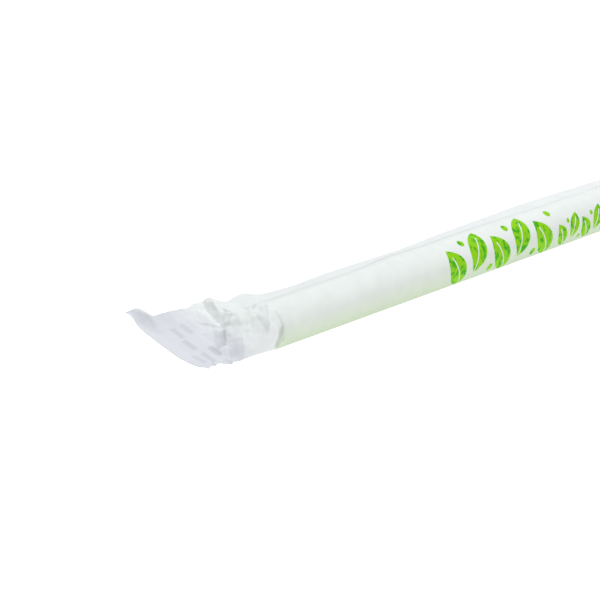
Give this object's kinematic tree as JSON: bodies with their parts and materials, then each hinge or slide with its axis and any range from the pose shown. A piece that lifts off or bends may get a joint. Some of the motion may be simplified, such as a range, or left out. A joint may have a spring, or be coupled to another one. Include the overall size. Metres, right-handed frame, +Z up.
{
  "type": "wrapped drinking straw",
  "caption": "Plastic drinking straw sealed in a thin paper wrapper with a side fin and flat ribbed ends.",
  "frame": {"origin": "on the table the object lies on, under the middle of the straw's axis", "axes": "+X along the straw away from the longer end of the wrapper, +Y towards the wrapper's sealed fin, +Z up from the table"},
  "size_m": [0.229, 0.019, 0.0085],
  "materials": {
    "straw_plastic": "satin translucent green",
    "wrapper_paper": "thin white paper, slightly glossy, with green print"
  },
  "bodies": {
    "root": {"straw": "straw_plastic", "wrapper": "wrapper_paper"}
  },
  "joints": []
}
